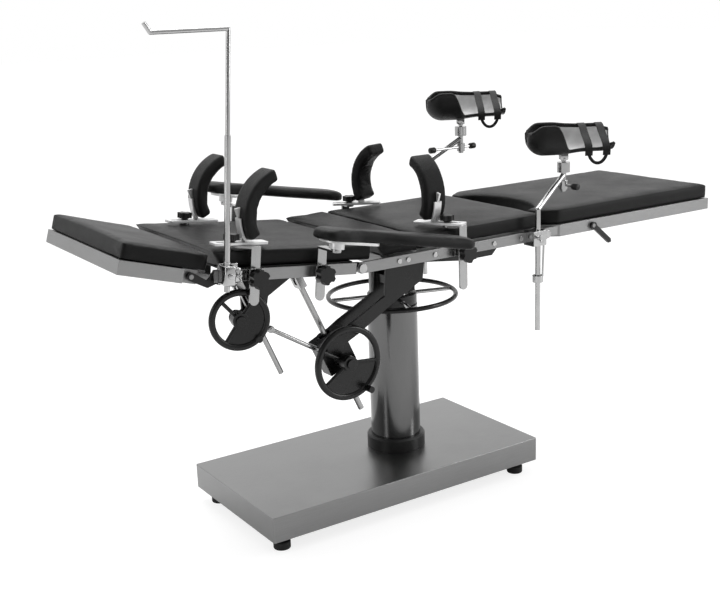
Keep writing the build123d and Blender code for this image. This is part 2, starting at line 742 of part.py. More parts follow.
with BuildPart() as gearbox_b:
    gearbox(gear_b, aim_b, box_b_half_wide, box_b_below)
    arm_x, arm_y, arm_z = on_axle_b(-axle_b_root)
    with BuildSketch(Plane.XZ.offset(-cheek_clear_y - boss_half), mode=Mode.PRIVATE) as arm_plan:
        with Locations((arm_x, arm_z)):
            Circle(axle_boss)
        with Locations(gear_b):
            Circle(axle_boss)
        make_hull()
    extrude(arm_plan.sketch, amount=boss_half)
    rod(on_axle_b(-axle_b_root), on_axle_b(-wheel_half_hub - touch_gap), axle_boss - cap_high)
    rod(on_axle_b(-axle_b_root), on_axle_b(axle_b_end), axle_radius)
    rod(on_axle_b(wheel_half_hub + touch_gap), on_axle_b(axle_b_end), axle_radius + cap_high)

with BuildPart() as rod_b:
    drive_rod(rod_b_top, aim_b, rod_b_length, rod_b_radius)

with BuildPart() as wheel_b:
    wheel_rim(wheel_b_rim, wheel_b_bar, (90, 0, 0))
    fillet(wheel_b.edges(), wheel_b_bar - rim_flat)
    crank_wheel(wheel_b_rim, wheel_b_sector, wheel_b_spokes, wheel_b_grip, wheel_b_grip_end)

# Rail bars: flat bars on the rails that carry the supports and arm boards
bar_half = 13
bar_thick = 6
shoe_half = 18
shoe_out = rail_outer + 11.5
shoe_bottom = 737
shoe_top = 773
bar_bottom = 679
seat_bar_bottom = 643
strap_bottom = 822.5
strap_top = 828.5
stud_radius = 5
plate_bottom = 829
plate_thick = 6
stud_plate_gap = 0.3


def rail_bar(x, side, bottom, top):
    """Flat bar held against the rail face by its shoe."""
    low, high = sorted((side * rail_outer, side * (rail_outer + bar_thick)))
    bar_y(x, bottom + bar_half, bar_half, low, high)
    block(x - bar_half, x + bar_half, low, high, bottom + bar_half, top)
    low, high = sorted((side * (rail_outer + bar_thick), side * shoe_out))
    block(x - shoe_half, x + shoe_half, low, high, shoe_bottom, shoe_top)


def strap(x, side, tip_x, tip_y, bottom, top):
    """Flat strap from the top of a bar to a stud."""
    with BuildSketch(Plane.XY.offset(bottom), mode=Mode.PRIVATE) as strap_plan:
        with Locations((x, side * (rail_outer + bar_thick / 2))):
            Rectangle(2 * bar_half, bar_thick)
        with Locations((tip_x, tip_y)):
            Circle(bar_half)
        make_hull()
    extrude(strap_plan.sketch, amount=top - bottom)


near_shoulder = (-640, -225)
far_shoulder = (-585, 165)
near_waist = (34, -232)
far_waist = (10, 232)
waist_headings = (120, -33)
waist_turns = (-30, -40)
shoulder_bars = [(-591, -1, near_shoulder), (-545, 1, far_shoulder)]
waist_bars = [(64, -1, near_waist), (14, 1, far_waist)]
knob_z = 750
stud_top = plate_bottom + plate_thick + stud_plate_gap
arm_pivot_y = rail_outer + 70.5
arm_bars = [(-1, -399, 822, 5), (1, -377, 858, 4)]
arm_stud_radius = 8
arm_stud_high = 21
arm_seat_radius = 14
arm_seat_high = 3
with BuildPart() as back_bars:
    for bar_x_place, side, stud in shoulder_bars:
        rail_bar(bar_x_place, side, bar_bottom, strap_top)
        strap(bar_x_place, side, *stud, strap_bottom, strap_top)
        post(*stud, stud_radius, strap_top, stud_top)
    for side, arm_x, top, slope in arm_bars:
        rail_bar(arm_x, side, bar_bottom, top)
        strap(arm_x, side, arm_x, side * arm_pivot_y, top - bar_thick, top)
        with Locations(Location((arm_x, side * arm_pivot_y, top), (0, slope, 0))):
            Cylinder(arm_seat_radius, 2 * arm_seat_high)
            Cylinder(arm_stud_radius, arm_stud_high, align=low_end)

with BuildPart() as back_knobs:
    for bar_x_place, side, stud in shoulder_bars:
        knob((bar_x_place, side * shoe_out, knob_z), side, knob_radius, knob_high)
        knob((*stud, stud_top), 0, stud_knob_radius, stud_knob_high)
    for side, arm_x, top, slope in arm_bars:
        knob((arm_x, side * shoe_out, knob_z), side, knob_radius, knob_high)

with BuildPart() as seat_bars:
    for bar_x_place, side, stud in waist_bars:
        rail_bar(bar_x_place, side, seat_bar_bottom, strap_top)
        strap(bar_x_place, side, *stud, strap_bottom, strap_top)
        post(*stud, stud_radius, strap_top, stud_top)

with BuildPart() as seat_knobs:
    for bar_x_place, side, stud in waist_bars:
        knob((bar_x_place, side * shoe_out, knob_z), side, knob_radius, knob_high)
        knob((*stud, stud_top), 0, stud_knob_radius, stud_knob_high)

# Body supports: curved pad on a slotted cast plate, drawn with the stud at the origin
support_slide = 35
plate_tail = -52
plate_front = 96
plate_half = 20
slot_half = stud_radius + stud_plate_gap
arc_centre = (148, 74)
arc_radius = 110
arc_start = 112
arc_size = 100
support_thick = 36
support_half = 36
support_round = 9
shell_gap = 0.4
shell_thick = 5
shell_half = 12
shell_start = 184
shell_size = 28
gusset = [(28, 4), (62, 4), (62, 50), (24, 92), (6, 88), (24, 40)]
gusset_half = 3
support_turn_x = 45
with BuildPart() as support_pad:
    with BuildSketch(Plane.XZ, mode=Mode.PRIVATE) as pad_plan:
        with BuildLine():
            CenterArc(arc_centre, arc_radius, arc_start, arc_size)
        trace(line_width=support_thick)
    extrude(pad_plan.sketch, amount=support_half, both=True)
    fillet(support_pad.edges(), support_round)

shell_radius = arc_radius + support_thick / 2 + shell_gap + shell_thick / 2
with BuildPart() as support_plate:
    block(plate_tail, plate_front, -plate_half, plate_half, 0, plate_thick)
    fillet(support_plate.edges().filter_by(Axis.Z), pad_round)
    block(-support_slide - slot_half, slot_half, -slot_half, slot_half, 0, plate_thick,
          Mode.SUBTRACT)

with BuildPart() as support_shell:
    with BuildSketch(Plane.XZ, mode=Mode.PRIVATE) as shell_plan:
        with BuildLine():
            CenterArc(arc_centre, shell_radius, shell_start, shell_size)
        trace(line_width=shell_thick)
    extrude(shell_plan.sketch, amount=shell_half, both=True)
    plate(gusset, -gusset_half, gusset_half)
    bar_y(*arc_centre, arc_radius + support_thick / 2 + shell_gap, -shell_half, shell_half,
          Mode.SUBTRACT)
    block(plate_tail, plate_front, -pad_half, pad_half, plate_thick - arc_radius, plate_thick / 2,
          Mode.SUBTRACT)

# Arm boards, drawn about their pivot with the board level
board_head = -77
board_foot = 413
board_near = -69
board_far = 29
board_thick_pad = 28
board_corner = 34
board_round = 13
tray_high = 24
tray_plate = 7
tray_hub = 20
arm_seat = arm_seat_high + touch_gap
board_base = arm_seat + tray_high + touch_gap
tray_root = 46
tray_tip = 28
tray_tip_x = 84
tray_tip_y = -16
with BuildPart() as arm_pad:
    block(board_head, board_foot, board_near, board_far, board_base, board_base + board_thick_pad)
    fillet(arm_pad.edges().filter_by(Axis.Z), board_corner)
    fillet(arm_pad.faces().sort_by(Axis.Z)[-1].edges(), board_round)

with BuildPart() as arm_tray:
    with BuildSketch(Plane.XY.offset(arm_seat + tray_high - tray_plate), mode=Mode.PRIVATE) as tray_shape:
        Circle(tray_root)
        with Locations((tray_tip_x, tray_tip_y)):
            Circle(tray_tip)
        make_hull()
    extrude(tray_shape.sketch, amount=tray_plate)
    post(0, 0, tray_hub, arm_seat, arm_seat + tray_high)
    post(0, 0, arm_stud_radius + slip, arm_seat, arm_stud_high + touch_gap, Mode.SUBTRACT)

# Leg holders on the seat rails
holder_x = 328
holder_y = rail_outer + 18.5
holder_rod_radius = 8
clamp_head = holder_x - 30
clamp_foot = holder_x + 18
clamp_out = holder_y + 17
clamp_bottom = rail_bottom - 7
clamp_top = rail_top + 6
clamp_in = rail_inner - 0.5
stay_x = holder_x + 12
stay_y = holder_y + 12
ring_outer = 16
ring_low = 624
ring_high = 644
stay_radius = 3
with BuildPart() as leg_holder_clamps:
    for side in (-1, 1):
        low, high = sorted((side * rail_outer, side * clamp_out))
        block(clamp_head, clamp_foot, low, high, clamp_bottom, clamp_top)
        low, high = sorted((side * clamp_in, side * rail_outer))
        block(clamp_head, clamp_foot, low, high, clamp_bottom, rail_bottom)
        block(clamp_head, clamp_foot, low, high, rail_top, clamp_top)
        post(holder_x, side * holder_y, ring_outer, ring_low, ring_high)
        rod((stay_x, side * stay_y, clamp_bottom + stay_radius),
            (holder_x + ring_outer / 2, side * stay_y, ring_high - stay_radius), stay_radius)
        post(holder_x, side * holder_y, holder_rod_radius + slip, ring_low, clamp_top, Mode.SUBTRACT)

rod_foot = 478
elbow_z = 839
post_x = 459
post_y = 243
post_z = 920
stem_low = 872
collar_low = 929
collar_high = 959
collar_outer = 19
far_lift = 70
sleeve_radius = 13
sleeve_low = 878
sleeve_high = 904
tbar_z = (sleeve_low + sleeve_high) / 2
tbar_ends_near = [(0, -52), (0, 24)]
tbar_ends_far = [(-118, 0), (48, 0)]
tbar_radius = 4
tbar_ball = 9
socket_depth = 14


def holder_rod(tbar_ends):
    """Bent rod with its collar, sleeve and the small cross bar of the collar lock."""
    post(holder_x, -holder_y, holder_rod_radius, rod_foot, elbow_z)
    rod((holder_x, -holder_y, elbow_z), (post_x, -post_y, post_z), holder_rod_radius)
    for elbow in ((holder_x, -holder_y, elbow_z), (post_x, -post_y, post_z)):
        with Locations(elbow):
            Sphere(holder_rod_radius)
    post(post_x, -post_y, holder_rod_radius, stem_low, collar_low)
    post(post_x, -post_y, sleeve_radius, sleeve_low, sleeve_high)
    post(post_x, -post_y, collar_outer, collar_low, collar_high)
    post(post_x, -post_y, holder_rod_radius + slip, collar_high - socket_depth, collar_high,
         Mode.SUBTRACT)
    ball_places = [(post_x + reach_x, reach_y - post_y, tbar_z) for reach_x, reach_y in tbar_ends]
    rod(*ball_places, tbar_radius)
    with Locations(*ball_places):
        Sphere(tbar_ball)


with BuildPart() as holder_rod_near:
    holder_rod(tbar_ends_near)

with BuildPart() as holder_rod_far:
    holder_rod(tbar_ends_far)

tip_z = 968
tip_tongue = 5.5
tip_eye = 8
tip_bore = 4
shell_axis = 72
trough_length = 252
trough_shift = 16
trough_outer = 60
trough_inner = 54
trough_rim = 30
trough_low_rim = -34
trough_split = -6
fork_outer = 12
fork_gap = 0.3
fork_half = 12
with BuildPart() as holder_post:
    post(0, 0, holder_rod_radius, collar_high - socket_depth + touch_gap, collar_high)
    block(-tip_tongue, tip_tongue, -tip_tongue, tip_tongue, collar_high, tip_z)
    bar_y(0, tip_z, tip_eye, -tip_tongue, tip_tongue)
    bar_y(0, tip_z, tip_bore + slip, -tip_tongue, tip_tongue, Mode.SUBTRACT)

trough_z = tip_z + shell_axis
with BuildPart() as leg_trough:
    bar_x(0, trough_z, trough_outer, trough_shift - trough_length / 2, trough_shift + trough_length / 2)
    bar_x(0, trough_z, trough_inner, -trough_length, trough_length, Mode.SUBTRACT)
    block(-trough_length, trough_length, -trough_outer, trough_outer, trough_z + trough_rim,
          trough_z + trough_outer, Mode.SUBTRACT)
    block(trough_split, trough_length, -trough_outer, 0, trough_z + trough_low_rim,
          trough_z + trough_outer, Mode.SUBTRACT)
    for side in (-1, 1):
        low, high = sorted((side * (tip_tongue + fork_gap), side * fork_outer))
        block(-fork_half, fork_half, low, high, tip_z, trough_z - trough_inner - fork_gap)
        bar_y(0, tip_z, tip_eye, low, high)
    bar_y(0, tip_z, tip_bore, -fork_outer, fork_outer)

strap_half = 12
strap_gap = 0.3
strap_web = 2.5
strap_places = [60, 112]
with BuildPart() as trough_straps:
    for strap_x in strap_places:
        bar_x(0, trough_z, trough_outer + strap_gap + strap_web, strap_x - strap_half,
              strap_x + strap_half)
        bar_x(0, trough_z, trough_outer + strap_gap, strap_x - strap_half, strap_x + strap_half,
              Mode.SUBTRACT)

# Drip pole on the near back rail
pole_x = -677
pole_y = -rail_outer - 23.5
pole_foot = 723
pole_lean = -1.75
pole_tube_end = 377
pole_tube_radius = 7.5
pole_rod_radius = 5.5
pole_rod_start = 227
pole_rod_end = 622
pole_plug = 37
pole_collar = 69
tube_collar = 1.5
pole_arm = (-192, -21)
pole_tip = (-16, 20)
pole_clamp = (-690, -638)
pole_clamp_out = -298
pole_clamp_bottom = 735
pole_clamp_top = 790


def on_pole(distance):
    return (pole_x + distance * sin(radians(pole_lean)), pole_y,
            pole_foot + distance * cos(radians(pole_lean)))


with BuildPart() as iv_clamp:
    block(*pole_clamp, pole_clamp_out, -rail_outer, pole_clamp_bottom, pole_clamp_top)
    block(*pole_clamp, -rail_outer, -rail_inner, pole_clamp_bottom, rail_bottom)
    block(*pole_clamp, -rail_outer, -rail_inner, rail_top, pole_clamp_top)
    rod(on_pole(0), on_pole(pole_tube_end), pole_tube_radius + slip, Mode.SUBTRACT)

with BuildPart() as iv_tube:
    rod(on_pole(0), on_pole(pole_tube_end), pole_tube_radius)
    rod(on_pole(pole_collar), on_pole(pole_collar + cap_high), pole_tube_radius + tube_collar)
    rod(on_pole(pole_plug), on_pole(pole_tube_end), pole_rod_radius + slip, Mode.SUBTRACT)

pole_top = Vector(*on_pole(pole_rod_end))
pole_arm_end = pole_top + Vector(pole_arm[0], 0, pole_arm[1])
with BuildPart() as iv_rod:
    rod(on_pole(pole_rod_start), pole_top, pole_rod_radius)
    rod(pole_top, pole_arm_end, pole_rod_radius)
    rod(pole_arm_end, pole_arm_end + Vector(pole_tip[0], 0, pole_tip[1]), pole_rod_radius)
    with Locations(pole_top, pole_arm_end):
        Sphere(pole_rod_radius)

# Place every piece and write it out
os.makedirs("parts", exist_ok=True)
centre = Location((column_x, column_y, 0))
back_axis = Axis((back_hinge_x, 0, hinge_z), (0, 1, 0))
head_axis = Axis((head_hinge_x, 0, hinge_z), (0, 1, 0))
pieces = {}


def level(piece):
    return piece


def raised_back(piece):
    return piece.rotate(back_axis, back_raise)


def raised_head(piece):
    return raised_back(piece.rotate(head_axis, head_raise))


def set_at(piece, place, turn=(0, 0, 0)):
    return piece.moved(Location(place, turn))


def keep(label, piece):
    placed = piece.moved(centre)
    placed.label = label
    pieces[label] = placed
    export_step(placed, f"parts/{label}.step")


for label, built in (("base_cover", base_cover), ("base_chassis", base_chassis),
                     ("levelling_feet", levelling_feet), ("column_collar", column_collar),
                     ("column_tube", column_tube), ("column_bush", column_bush),
                     ("ram_tube", ram_tube), ("fork_head", fork_head), ("tilt_cross", tilt_cross),
                     ("main_beam", main_beam), ("seat_frame", seat_frame),
                     ("seat_rails", seat_rails), ("rail_bolts", rail_bolts),
                     ("seat_pad", seat_pad), ("drive_arm", drive_arm), ("seat_bars", seat_bars),
                     ("seat_knobs", seat_knobs), ("leg_holder_clamps", leg_holder_clamps),
                     ("kidney_bridge", kidney_bridge), ("kidney_pad", kidney_pad),
                     ("leg_tray", leg_tray), ("leg_pad", leg_pad),
                     ("leg_lock_lever", leg_lock_lever), ("gearbox_a", gearbox_a),
                     ("rod_a", rod_a), ("gearbox_b", gearbox_b), ("rod_b", rod_b),
                     ("lift_wheel", lift_wheel)):
    keep(label, built.part)

for label, built in (("back_frame", back_frame), ("back_rails", back_rails),
                     ("back_pad", back_pad),
                     ("back_bars", back_bars), ("back_knobs", back_knobs), ("iv_clamp", iv_clamp),
                     ("iv_tube", iv_tube), ("iv_rod", iv_rod)):
    keep(label, raised_back(built.part))

keep("head_tray", raised_head(head_tray.part))
keep("head_pad", raised_head(head_pad.part))
keep("wheel_a", set_at(wheel_a.part, (wheel_a_centre[0], wheel_a_y, wheel_a_centre[1])))
keep("wheel_b", set_at(wheel_b.part, wheel_b_centre, (0, 0, -wheel_b_turn)))

support_turn = Axis((support_turn_x, 0, 0), (0, 0, 1))
supports = (("shoulder_near", near_shoulder, 0, 0, raised_back),
            ("shoulder_far", far_shoulder, 0, 0, raised_back),
            ("waist_near", near_waist, waist_headings[0], waist_turns[0], level),
            ("waist_far", far_waist, waist_headings[1], waist_turns[1], level))
for label, stud, heading, turn, lift_up in supports:
    place = (*stud, plate_bottom)
    bracket = support_plate.part + support_shell.part.rotate(support_turn, turn)
    cushion = support_pad.part.rotate(support_turn, turn)
    keep(label + "_bracket", lift_up(set_at(bracket, place, (0, 0, heading))))
    keep(label + "_pad", lift_up(set_at(cushion, place, (0, 0, heading))))

for label, (side, arm_x, top, slope) in zip(("near", "far"), arm_bars):
    place = (arm_x, side * arm_pivot_y, top)
    for name, built in (("arm_tray_", arm_tray), ("arm_board_", arm_pad)):
        drawn = built.part if side < 0 else built.part.mirror(Plane.XZ)
        keep(name + label, raised_back(set_at(drawn, place, (0, slope, 0))))

trough_heading = -30
for label, side, lift in (("near", -1, 0), ("far", 1, far_lift)):
    drawn = holder_rod_near.part if side < 0 else holder_rod_far.part.mirror(Plane.XZ)
    keep("leg_rod_" + label, set_at(drawn, (0, 0, lift)))
    for name, built in (("leg_post_", holder_post), ("leg_trough_", leg_trough),
                        ("trough_straps_", trough_straps)):
        keep(name + label, set_at(built.part, (post_x, side * post_y, lift), (0, 0, trough_heading)))
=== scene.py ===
import math

import bmesh
import bpy
from mathutils import Matrix, Vector, noise


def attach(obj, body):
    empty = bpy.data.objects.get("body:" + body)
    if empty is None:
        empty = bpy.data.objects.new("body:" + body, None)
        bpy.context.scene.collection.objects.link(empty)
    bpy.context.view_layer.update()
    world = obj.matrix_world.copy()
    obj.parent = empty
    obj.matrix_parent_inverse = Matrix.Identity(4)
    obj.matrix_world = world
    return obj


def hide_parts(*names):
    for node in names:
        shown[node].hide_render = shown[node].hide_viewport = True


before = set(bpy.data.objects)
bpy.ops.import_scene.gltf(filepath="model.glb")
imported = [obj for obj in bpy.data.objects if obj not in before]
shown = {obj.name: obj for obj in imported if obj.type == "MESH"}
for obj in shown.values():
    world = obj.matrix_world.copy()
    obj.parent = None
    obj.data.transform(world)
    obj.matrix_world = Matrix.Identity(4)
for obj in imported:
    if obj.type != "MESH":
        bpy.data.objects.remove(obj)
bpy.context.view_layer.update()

scene = bpy.context.scene

# Drawing places. Shapes are drawn in mm from the column's axis with the deck level, then set in place.
MM = 0.001
flat = Matrix.Identity(4)
column = Matrix.Translation((-0.089, 0, 0)) @ Matrix.Scale(MM, 4)


def raised_about(x, z, degrees):
    """Turn about a hinge line that runs across the deck."""
    return (Matrix.Translation((x, 0, z)) @ Matrix.Rotation(math.radians(degrees), 4, "Y")
            @ Matrix.Translation((-x, 0, -z)))


hinge_z = 757
back_hinge = -270
head_hinge = -755
back_place = raised_about(back_hinge, hinge_z, 6.2)
head_place = back_place @ raised_about(head_hinge, hinge_z, 10.2)


def standing(x, y, z=0, heading=0):
    return Matrix.Translation((x, y, z)) @ Matrix.Rotation(math.radians(heading), 4, "Z")


# Building blocks, each a mesh of its own in drawing mm
def bevelled(part, edges, round_by, segments=2):
    if round_by > 0 and edges:
        bmesh.ops.bevel(part, geom=list(edges), offset=round_by, segments=segments, profile=0.5,
                        affect="EDGES", material=-1, clamp_overlap=True)
    return part


def moved(part, matrix):
    bmesh.ops.transform(part, matrix=matrix, verts=part.verts)
    return part


def block(x0, x1, y0, y1, z0, z1, round_by=1, segments=2):
    part = bmesh.new()
    bmesh.ops.create_cube(part, size=1)
    moved(part, Matrix.Translation(((x0 + x1) / 2, (y0 + y1) / 2, (z0 + z1) / 2))
          @ Matrix.Diagonal((abs(x1 - x0), abs(y1 - y0), abs(z1 - z0), 1)))
    return bevelled(part, part.edges, round_by, segments)


def rod(start, end, radius, round_by=0.6, sides=28, tip_radius=None):
    """Round bar between two points."""
    start, end = Vector(start), Vector(end)
    run = end - start
    part = bmesh.new()
    bmesh.ops.create_cone(part, cap_ends=True, segments=sides, radius1=radius,
                          radius2=radius if tip_radius is None else tip_radius, depth=run.length)
    rims = [e for e in part.edges if abs(e.verts[0].co.z - e.verts[1].co.z) < 1e-6]
    bevelled(part, rims, round_by)
    return moved(part, Matrix.Translation((start + end) / 2)
                 @ run.to_track_quat("Z", "Y").to_matrix().to_4x4())


def lathe(outline, closed=False, sides=36):
    """Shape turned about its own Z from radius and height pairs."""
    part = bmesh.new()
    points = [part.verts.new((radius, 0, high)) for radius, high in outline]
    pairs = list(zip(points, points[1:])) + ([(points[-1], points[0])] if closed else [])
    edges = [part.edges.new(pair) for pair in pairs]
    bmesh.ops.spin(part, geom=points + edges, cent=(0, 0, 0), axis=(0, 0, 1), angle=math.tau,
                   steps=sides, use_merge=True)
    bmesh.ops.remove_doubles(part, verts=part.verts, dist=1e-4)
    bmesh.ops.recalc_face_normals(part, faces=part.faces)
    return part


def ring(radius, bar, sides=72, bar_sides=16):
    """Round bar bent into a full ring about its own Z."""
    part = bmesh.new()
    made = bmesh.ops.create_circle(part, segments=bar_sides, radius=bar,
                                   matrix=Matrix.Translation((radius, 0, 0))
                                   @ Matrix.Rotation(math.pi / 2, 4, "X"))
    bmesh.ops.spin(part, geom=made["verts"] + list(part.edges), cent=(0, 0, 0), axis=(0, 0, 1),
                   angle=math.tau, steps=sides, use_merge=True)
    bmesh.ops.remove_doubles(part, verts=part.verts, dist=1e-4)
    bmesh.ops.recalc_face_normals(part, faces=part.faces)
    return part


def sheet_form(outline, y0, y1, round_by=1, segments=2):
    """Upright plate with a corner outline in X and Z."""
    part = bmesh.new()
    face = part.faces.new([part.verts.new((x, y0, z)) for x, z in outline])
    raised = bmesh.ops.extrude_face_region(part, geom=[face])["geom"]
    bmesh.ops.translate(part, verts=[g for g in raised if isinstance(g, bmesh.types.BMVert)],
                        vec=(0, y1 - y0, 0))
    bmesh.ops.recalc_face_normals(part, faces=part.faces)
    return bevelled(part, part.edges, round_by, segments)


def bent_bar(points, radius, rounding, sides=6):
    """Round bar through points, with rounded bends."""
    curve = bpy.data.curves.new("bend", "CURVE")
    curve.dimensions = "3D"
    curve.bevel_depth = radius
    curve.bevel_resolution = sides
    curve.use_fill_caps = True
    line = curve.splines.new("POLY")
    route = [Vector(points[0])]
    for before, corner, after in zip(points, points[1:], points[2:]):
        before, corner, after = Vector(before), Vector(corner), Vector(after)
        entry = corner + (before - corner).normalized() * rounding
        leave = corner + (after - corner).normalized() * rounding
        for step in range(9):
            share = step / 8
            route.append(entry * (1 - share) ** 2 + corner * 2 * share * (1 - share)
                         + leave * share ** 2)
    route.append(Vector(points[-1]))
    line.points.add(len(route) - 1)
    for point, place in zip(line.points, route):
        point.co = (*place, 1)
    holder = bpy.data.objects.new("bend", curve)
    mesh = bpy.data.meshes.new_from_object(holder)
    part = bmesh.new()
    part.from_mesh(mesh)
    bpy.data.objects.remove(holder)
    bpy.data.meshes.remove(mesh)
    bpy.data.curves.remove(curve)
    bmesh.ops.remove_doubles(part, verts=part.verts, dist=1e-4)
    bmesh.ops.recalc_face_normals(part, faces=part.faces)
    return part


def into_mesh(name, parts, place=flat):
    whole = bmesh.new()
    for part in parts:
        mesh = bpy.data.meshes.new("part")
        part.to_mesh(mesh)
        part.free()
        whole.from_mesh(mesh)
        bpy.data.meshes.remove(mesh)
    bmesh.ops.transform(whole, matrix=column @ place, verts=whole.verts)
    mesh = bpy.data.meshes.new(name)
    whole.to_mesh(mesh)
    whole.free()
    return mesh


def fit(name, body, finish, parts, place=flat, stands_for=(), sharp=32):
    """Joins the parts into one piece on a body."""
    mesh = into_mesh(name, parts, place)
    mesh.shade_smooth()
    mesh.set_sharp_from_angle(angle=math.radians(sharp))
    mesh.materials.append(finish)
    piece = bpy.data.objects.new(name, mesh)
    scene.collection.objects.link(piece)
    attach(piece, body)
    if stands_for:
        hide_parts(*stands_for)
    return piece


# Shared surface effects
def effect(name, inputs, outputs):
    group = bpy.data.node_groups.new(name, "ShaderNodeTree")
    for label, kind, value in inputs:
        socket = group.interface.new_socket(label, in_out="INPUT", socket_type=kind)
        socket.default_value = value
    for label, kind in outputs:
        group.interface.new_socket(label, in_out="OUTPUT", socket_type=kind)
    source = group.nodes.new("NodeGroupInput")
    sink = group.nodes.new("NodeGroupOutput")
    return group, source.outputs, sink.inputs


def node(tree, kind, links=(), **settings):
    """One node with its settings, and its inputs linked or set by name or number."""
    made = tree.nodes.new(kind)
    for label, value in settings.items():
        setattr(made, label, value)
    for label, value in dict(links).items():
        if isinstance(value, bpy.types.NodeSocket):
            tree.links.new(value, made.inputs[label])
        else:
            made.inputs[label].default_value = value
    return made


FLOAT, VECTOR, COLOUR = "NodeSocketFloat", "NodeSocketVector", "NodeSocketColor"

# Leather grain: small pebbles between fine creases, with slow waves under them
leather_grain, given, result = effect("leather grain", [
    ("Pebble", FLOAT, 700.0), ("Crease", FLOAT, 0.35), ("Wave", FLOAT, 14.0)],
    [("Height", FLOAT), ("Shade", FLOAT)])
place = node(leather_grain, "ShaderNodeTexCoord").outputs["Object"]
wander = node(leather_grain, "ShaderNodeTexNoise", {"Vector": place, "Scale": 90.0, "Detail": 2.0})
bent = node(leather_grain, "ShaderNodeMix", {0: 0.004, 4: place, 5: wander.outputs["Color"]},
            data_type="VECTOR", blend_type="MIX")
cells = node(leather_grain, "ShaderNodeTexVoronoi", {"Vector": bent.outputs[1], "Scale": given["Pebble"]},
             feature="DISTANCE_TO_EDGE")
pebble = node(leather_grain, "ShaderNodeMapRange", {0: cells.outputs["Distance"], 1: 0.0, 2: 0.22},
              interpolation_type="SMOOTHSTEP")
waves = node(leather_grain, "ShaderNodeTexNoise", {"Vector": place, "Scale": given["Wave"], "Detail": 5.0,
                                                  "Roughness": 0.55})
folds = node(leather_grain, "ShaderNodeMath", {0: waves.outputs[0], 1: given["Crease"]},
             operation="MULTIPLY")
leather_grain.links.new(node(leather_grain, "ShaderNodeMath",
                             {0: pebble.outputs[0], 1: folds.outputs[0]}, operation="ADD").outputs[0],
                        result["Height"])
leather_grain.links.new(waves.outputs[0], result["Shade"])

# Grinding lines: noise drawn out along one way
grinding, given, result = effect("grinding lines", [
    ("Stretch", VECTOR, (1.0, 60.0, 60.0)), ("Scale", FLOAT, 12.0)], [("Line", FLOAT)])
place = node(grinding, "ShaderNodeTexCoord").outputs["Object"]
drawn = node(grinding, "ShaderNodeVectorMath", {0: place, 1: given["Stretch"]}, operation="MULTIPLY")
lines = node(grinding, "ShaderNodeTexNoise", {"Vector": drawn.outputs[0], "Scale": given["Scale"],
                                             "Detail": 6.0, "Roughness": 0.7})
grinding.links.new(lines.outputs[0], result["Line"])

# Uneven finish: slow patches from a low to a high value
uneven, given, result = effect("uneven finish", [
    ("Scale", FLOAT, 6.0), ("Low", FLOAT, 0.3), ("High", FLOAT, 0.5)], [("Value", FLOAT)])
place = node(uneven, "ShaderNodeTexCoord").outputs["Object"]
patch = node(uneven, "ShaderNodeTexNoise", {"Vector": place, "Scale": given["Scale"], "Detail": 6.0,
                                           "Roughness": 0.6})
spread = node(uneven, "ShaderNodeMapRange", {0: patch.outputs[0], 1: 0.3, 2: 0.7, 3: given["Low"],
                                            4: given["High"]})
uneven.links.new(spread.outputs[0], result["Value"])

# Worn edges: how far the surface turns within a small radius
worn_edges, given, result = effect("worn edges", [
    ("Radius", FLOAT, 0.002), ("Break up", FLOAT, 60.0)], [("Mask", FLOAT), ("Normal", VECTOR)])
place = node(worn_edges, "ShaderNodeTexCoord").outputs["Object"]
soft = node(worn_edges, "ShaderNodeBevel", {"Radius": given["Radius"]}, samples=6)
plain = node(worn_edges, "ShaderNodeNewGeometry").outputs["Normal"]
turn = node(worn_edges, "ShaderNodeVectorMath", {0: soft.outputs[0], 1: plain}, operation="DOT_PRODUCT")
gap = node(worn_edges, "ShaderNodeMapRange", {0: turn.outputs["Value"], 1: 0.99, 2: 0.8})
speckle = node(worn_edges, "ShaderNodeTexNoise", {"Vector": place, "Scale": given["Break up"],
                                                 "Detail": 5.0})
chip = node(worn_edges, "ShaderNodeMapRange", {0: speckle.outputs[0], 1: 0.42, 2: 0.62})
worn = node(worn_edges, "ShaderNodeMath", {0: gap.outputs[0], 1: chip.outputs[0]},
            operation="MULTIPLY", use_clamp=True)
worn_edges.links.new(worn.outputs[0], result["Mask"])
worn_edges.links.new(soft.outputs[0], result["Normal"])


def finish_start(name, **values):
    material = bpy.data.materials.new(name)
    material.use_nodes = True
    shader = material.node_tree.nodes["Principled BSDF"]
    for label, value in values.items():
        shader.inputs[label.replace("_", " ")].default_value = value
    return material, material.node_tree, shader


def use(tree, group, **values):
    made = tree.nodes.new("ShaderNodeGroup")
    made.node_tree = group
    for label, value in values.items():
        made.inputs[label.replace("_", " ")].default_value = value
    return made.outputs


def two_tones(tree, mask, low, high):
    """Colour between two tones by a mask."""
    return node(tree, "ShaderNodeMix", {0: mask, 6: (*low, 1), 7: (*high, 1)},
                data_type="RGBA").outputs[2]


def bumped(tree, height, strength, distance, under=None):
    links = {"Height": height, "Strength": strength, "Distance": distance}
    if under is not None:
        links["Normal"] = under
    return node(tree, "ShaderNodeBump", links).outputs[0]


def grey(value):
    return (value, value, value)


def leather(name, low, high, rough_low, rough_high, pebble, depth, crease=0.35, wave=14.0, shine=0.36):
    """Satin upholstery leather."""
    material, tree, shader = finish_start(name, Specular_IOR_Level=shine)
    grain = use(tree, leather_grain, Pebble=pebble, Crease=crease, Wave=wave)
    sheen = use(tree, uneven, Scale=9.0, Low=rough_low, High=rough_high)
    tree.links.new(two_tones(tree, grain["Shade"], grey(low), grey(high)), shader.inputs["Base Color"])
    tree.links.new(sheen["Value"], shader.inputs["Roughness"])
    tree.links.new(bumped(tree, grain["Height"], depth, 0.0006), shader.inputs["Normal"])
    return material


